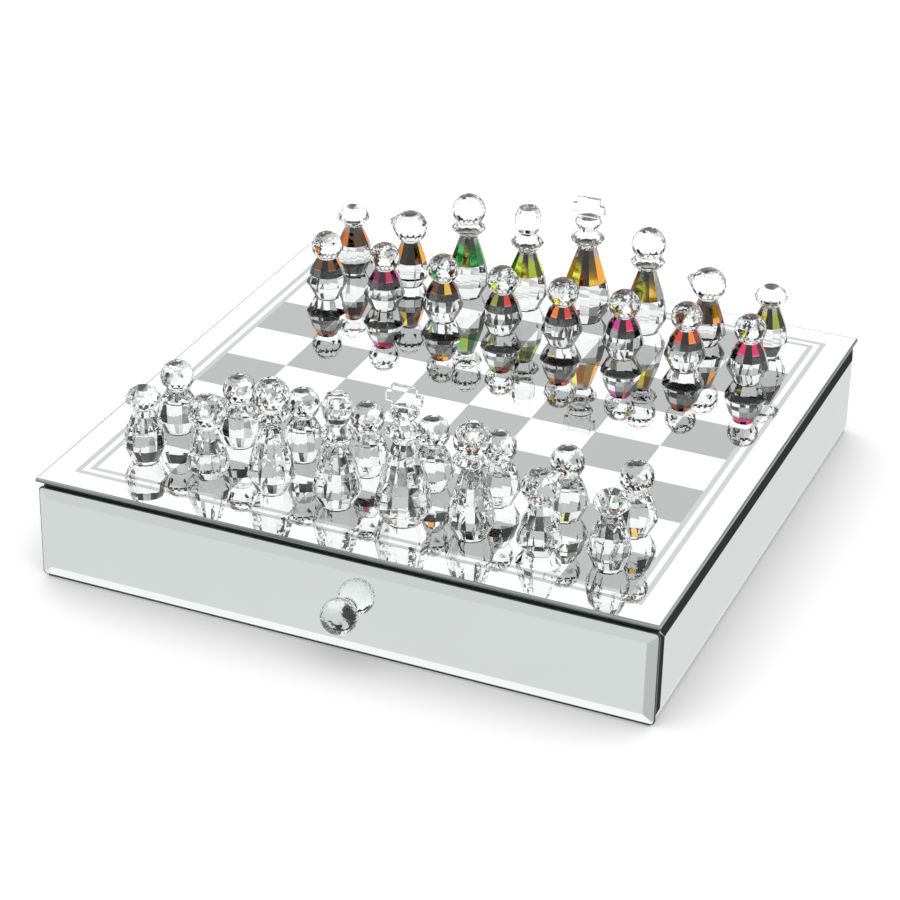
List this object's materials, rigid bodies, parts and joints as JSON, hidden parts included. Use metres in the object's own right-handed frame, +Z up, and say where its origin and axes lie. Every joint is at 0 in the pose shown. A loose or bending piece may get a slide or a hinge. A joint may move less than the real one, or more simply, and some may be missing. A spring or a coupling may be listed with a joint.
{
  "type": "chess set with board",
  "caption": "Cut crystal chess set on a glass board over a square mirrored box with a drawer that pulls out on a crystal knob.",
  "frame": {"origin": "middle of the underside of the base, which rests on the table", "axes": "+Z up; the drawer opens along -Y, which is the front; +X is to the right seen from the front"},
  "size_m": [0.352, 0.3714, 0.1388],
  "materials": {
    "board_glass": "polished, with grey tinted squares and lines",
    "mirror": "bevelled and polished",
    "black_board": "matt black paint on fibreboard",
    "fibreboard": "raw fibreboard",
    "felt": "matt",
    "velvet": "soft pile",
    "crystal_clear": "cut and polished",
    "crystal_tinted": "cut and polished, with a coloured coating under the foot",
    "chrome": "polished",
    "screw_steel": "plain"
  },
  "bodies": {
    "case": {"board_plate": "board_glass", "case_top_board": "black_board", "case_base_board": "black_board", "base_felt": "felt", "case_left_wall": "fibreboard", "case_right_wall": "fibreboard", "case_back_wall": "fibreboard", "left_mirror_panel": "mirror", "right_mirror_panel": "mirror", "back_mirror_panel": "mirror", "left_glide_strip": "felt", "right_glide_strip": "felt"},
    "drawer": {"drawer_front_mirror": "mirror", "drawer_front_board": "fibreboard", "drawer_bottom": "fibreboard", "drawer_left_wall": "fibreboard", "drawer_right_wall": "fibreboard", "drawer_back_wall": "fibreboard", "drawer_lining": "velvet", "knob_crystal": "crystal_clear", "knob_collar": "chrome", "knob_screw": "screw_steel"},
    "clear_rook_left_body": {"clear_rook_left": "crystal_clear"},
    "clear_knight_left_body": {"clear_knight_left": "crystal_clear"},
    "clear_bishop_left_body": {"clear_bishop_left": "crystal_clear"},
    "clear_queen_body": {"clear_queen": "crystal_clear"},
    "clear_king_body": {"clear_king": "crystal_clear"},
    "clear_bishop_right_body": {"clear_bishop_right": "crystal_clear"},
    "clear_knight_right_body": {"clear_knight_right": "crystal_clear"},
    "clear_rook_right_body": {"clear_rook_right": "crystal_clear"},
    "clear_pawn_1_body": {"clear_pawn_1": "crystal_clear"},
    "clear_pawn_2_body": {"clear_pawn_2": "crystal_clear"},
    "clear_pawn_3_body": {"clear_pawn_3": "crystal_clear"},
    "clear_pawn_4_body": {"clear_pawn_4": "crystal_clear"},
    "clear_pawn_5_body": {"clear_pawn_5": "crystal_clear"},
    "clear_pawn_6_body": {"clear_pawn_6": "crystal_clear"},
    "clear_pawn_7_body": {"clear_pawn_7": "crystal_clear"},
    "clear_pawn_8_body": {"clear_pawn_8": "crystal_clear"},
    "tinted_rook_left_body": {"tinted_rook_left": "crystal_tinted"},
    "tinted_knight_left_body": {"tinted_knight_left": "crystal_tinted"},
    "tinted_bishop_left_body": {"tinted_bishop_left": "crystal_tinted"},
    "tinted_queen_body": {"tinted_queen": "crystal_tinted"},
    "tinted_king_body": {"tinted_king": "crystal_tinted"},
    "tinted_bishop_right_body": {"tinted_bishop_right": "crystal_tinted"},
    "tinted_knight_right_body": {"tinted_knight_right": "crystal_tinted"},
    "tinted_rook_right_body": {"tinted_rook_right": "crystal_tinted"},
    "tinted_pawn_1_body": {"tinted_pawn_1": "crystal_tinted"},
    "tinted_pawn_2_body": {"tinted_pawn_2": "crystal_tinted"},
    "tinted_pawn_3_body": {"tinted_pawn_3": "crystal_tinted"},
    "tinted_pawn_4_body": {"tinted_pawn_4": "crystal_tinted"},
    "tinted_pawn_5_body": {"tinted_pawn_5": "crystal_tinted"},
    "tinted_pawn_6_body": {"tinted_pawn_6": "crystal_tinted"},
    "tinted_pawn_7_body": {"tinted_pawn_7": "crystal_tinted"},
    "tinted_pawn_8_body": {"tinted_pawn_8": "crystal_tinted"}
  },
  "joints": [
    {"name": "drawer_slide", "type": "slide", "parent": "case", "child": "drawer", "axis": [0, -1, 0], "range_m": [0, 0.25]},
    {"name": "clear_rook_left_lift", "type": "slide", "parent": "case", "child": "clear_rook_left_body", "axis": [0, 0, 1], "range_m": [0, 0.1]},
    {"name": "clear_knight_left_lift", "type": "slide", "parent": "case", "child": "clear_knight_left_body", "axis": [0, 0, 1], "range_m": [0, 0.1]},
    {"name": "clear_bishop_left_lift", "type": "slide", "parent": "case", "child": "clear_bishop_left_body", "axis": [0, 0, 1], "range_m": [0, 0.1]},
    {"name": "clear_queen_lift", "type": "slide", "parent": "case", "child": "clear_queen_body", "axis": [0, 0, 1], "range_m": [0, 0.1]},
    {"name": "clear_king_lift", "type": "slide", "parent": "case", "child": "clear_king_body", "axis": [0, 0, 1], "range_m": [0, 0.1]},
    {"name": "clear_bishop_right_lift", "type": "slide", "parent": "case", "child": "clear_bishop_right_body", "axis": [0, 0, 1], "range_m": [0, 0.1]},
    {"name": "clear_knight_right_lift", "type": "slide", "parent": "case", "child": "clear_knight_right_body", "axis": [0, 0, 1], "range_m": [0, 0.1]},
    {"name": "clear_rook_right_lift", "type": "slide", "parent": "case", "child": "clear_rook_right_body", "axis": [0, 0, 1], "range_m": [0, 0.1]},
    {"name": "clear_pawn_1_lift", "type": "slide", "parent": "case", "child": "clear_pawn_1_body", "axis": [0, 0, 1], "range_m": [0, 0.1]},
    {"name": "clear_pawn_2_lift", "type": "slide", "parent": "case", "child": "clear_pawn_2_body", "axis": [0, 0, 1], "range_m": [0, 0.1]},
    {"name": "clear_pawn_3_lift", "type": "slide", "parent": "case", "child": "clear_pawn_3_body", "axis": [0, 0, 1], "range_m": [0, 0.1]},
    {"name": "clear_pawn_4_lift", "type": "slide", "parent": "case", "child": "clear_pawn_4_body", "axis": [0, 0, 1], "range_m": [0, 0.1]},
    {"name": "clear_pawn_5_lift", "type": "slide", "parent": "case", "child": "clear_pawn_5_body", "axis": [0, 0, 1], "range_m": [0, 0.1]},
    {"name": "clear_pawn_6_lift", "type": "slide", "parent": "case", "child": "clear_pawn_6_body", "axis": [0, 0, 1], "range_m": [0, 0.1]},
    {"name": "clear_pawn_7_lift", "type": "slide", "parent": "case", "child": "clear_pawn_7_body", "axis": [0, 0, 1], "range_m": [0, 0.1]},
    {"name": "clear_pawn_8_lift", "type": "slide", "parent": "case", "child": "clear_pawn_8_body", "axis": [0, 0, 1], "range_m": [0, 0.1]},
    {"name": "tinted_rook_left_lift", "type": "slide", "parent": "case", "child": "tinted_rook_left_body", "axis": [0, 0, 1], "range_m": [0, 0.1]},
    {"name": "tinted_knight_left_lift", "type": "slide", "parent": "case", "child": "tinted_knight_left_body", "axis": [0, 0, 1], "range_m": [0, 0.1]},
    {"name": "tinted_bishop_left_lift", "type": "slide", "parent": "case", "child": "tinted_bishop_left_body", "axis": [0, 0, 1], "range_m": [0, 0.1]},
    {"name": "tinted_queen_lift", "type": "slide", "parent": "case", "child": "tinted_queen_body", "axis": [0, 0, 1], "range_m": [0, 0.1]},
    {"name": "tinted_king_lift", "type": "slide", "parent": "case", "child": "tinted_king_body", "axis": [0, 0, 1], "range_m": [0, 0.1]},
    {"name": "tinted_bishop_right_lift", "type": "slide", "parent": "case", "child": "tinted_bishop_right_body", "axis": [0, 0, 1], "range_m": [0, 0.1]},
    {"name": "tinted_knight_right_lift", "type": "slide", "parent": "case", "child": "tinted_knight_right_body", "axis": [0, 0, 1], "range_m": [0, 0.1]},
    {"name": "tinted_rook_right_lift", "type": "slide", "parent": "case", "child": "tinted_rook_right_body", "axis": [0, 0, 1], "range_m": [0, 0.1]},
    {"name": "tinted_pawn_1_lift", "type": "slide", "parent": "case", "child": "tinted_pawn_1_body", "axis": [0, 0, 1], "range_m": [0, 0.1]},
    {"name": "tinted_pawn_2_lift", "type": "slide", "parent": "case", "child": "tinted_pawn_2_body", "axis": [0, 0, 1], "range_m": [0, 0.1]},
    {"name": "tinted_pawn_3_lift", "type": "slide", "parent": "case", "child": "tinted_pawn_3_body", "axis": [0, 0, 1], "range_m": [0, 0.1]},
    {"name": "tinted_pawn_4_lift", "type": "slide", "parent": "case", "child": "tinted_pawn_4_body", "axis": [0, 0, 1], "range_m": [0, 0.1]},
    {"name": "tinted_pawn_5_lift", "type": "slide", "parent": "case", "child": "tinted_pawn_5_body", "axis": [0, 0, 1], "range_m": [0, 0.1]},
    {"name": "tinted_pawn_6_lift", "type": "slide", "parent": "case", "child": "tinted_pawn_6_body", "axis": [0, 0, 1], "range_m": [0, 0.1]},
    {"name": "tinted_pawn_7_lift", "type": "slide", "parent": "case", "child": "tinted_pawn_7_body", "axis": [0, 0, 1], "range_m": [0, 0.1]},
    {"name": "tinted_pawn_8_lift", "type": "slide", "parent": "case", "child": "tinted_pawn_8_body", "axis": [0, 0, 1], "range_m": [0, 0.1]}
  ]
}
